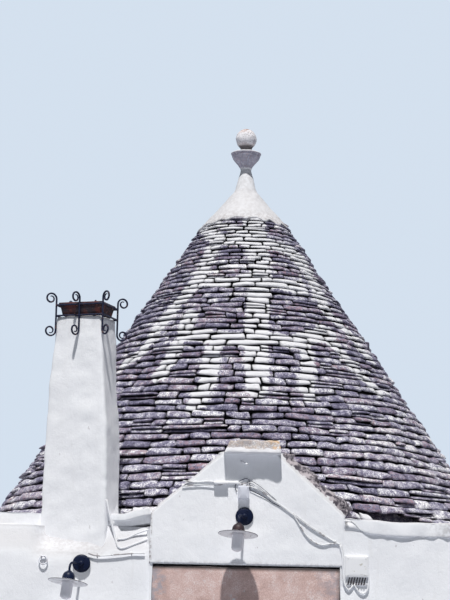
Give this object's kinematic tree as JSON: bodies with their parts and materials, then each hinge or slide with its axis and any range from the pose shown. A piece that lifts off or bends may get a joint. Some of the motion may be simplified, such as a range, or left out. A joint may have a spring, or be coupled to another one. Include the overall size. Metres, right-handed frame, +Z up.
{
  "type": "trullo house",
  "caption": "Square whitewashed stone room under a dry-stone cone roof, with a gabled doorway, a chimney with an iron flower basket, and wall lamps.",
  "frame": {"origin": "on the axis of the cone roof, at ground level, on the underside of the floor", "axes": "+Z up along the cone's axis, +X to the right along the front, and the front faces -Y"},
  "size_m": [5.58, 5.9637, 6.9171],
  "materials": {
    "whitewash": "brushed lime wash over rough plaster, soft lumpy edges",
    "roof_stone": "weathered grey limestone slabs, violet to pink patches, lichen",
    "vault_stone": "limestone rings, thin old lime wash",
    "lintel_stone": "bare pinkish brown limestone, grey stains at the ends",
    "slab_stone": "grey limestone with orange lichen",
    "floor_stone": "worn limestone flags",
    "iron": "dark blue-black paint, a little rust",
    "terracotta": "unglazed fired clay, weathered",
    "soil": "dry garden soil",
    "door_wood": "dark stained planks",
    "lamp_iron": "dark blue-black enamel",
    "lamp_shade": "grey-white enamel, dull",
    "lamp_glass": "frosted grey glass",
    "box_plastic": "white, dull",
    "cable_jacket": "grey jacket, lime washed in places",
    "ring_iron": "iron under lime wash"
  },
  "bodies": {
    "root": {"floor": "floor_stone", "doorstep": "lintel_stone", "front_wall_left": "whitewash", "front_wall_right": "whitewash", "left_wall": "whitewash", "right_wall": "whitewash", "back_wall": "whitewash", "wall_over_door": "whitewash", "door_jamb_left": "lintel_stone", "door_jamb_right": "lintel_stone", "lintel": "lintel_stone", "portal_wall": "whitewash", "gable": "whitewash", "gable_slab": "slab_stone", "coping_front_left": "whitewash", "coping_front_right": "whitewash", "coping_back_left": "whitewash", "coping_back_right": "whitewash", "corner_slabs": "vault_stone", "vault_lower": "vault_stone", "vault_upper": "vault_stone", "closing_slab": "vault_stone", "roof_lower": "roof_stone", "roof_middle": "roof_stone", "roof_upper": "roof_stone", "apex_cap": "whitewash", "finial_cup": "slab_stone", "finial_ball": "whitewash", "chimney": "whitewash", "flower_basket": "iron", "flower_box": "terracotta", "soil": "soil", "door_post_left": "door_wood", "door_post_right": "door_wood", "door_head": "door_wood", "door_leaf_left": "door_wood", "door_leaf_right": "door_wood", "door_lamp_bracket": "lamp_iron", "door_lamp_shade": "lamp_shade", "door_lamp_glass": "lamp_glass", "wall_lamp_bracket": "lamp_iron", "wall_lamp_shade": "lamp_shade", "wall_lamp_glass": "lamp_glass", "lamp_box": "box_plastic", "meter_box": "box_plastic", "wall_ring": "ring_iron", "cables": "cable_jacket"}
  },
  "joints": []
}
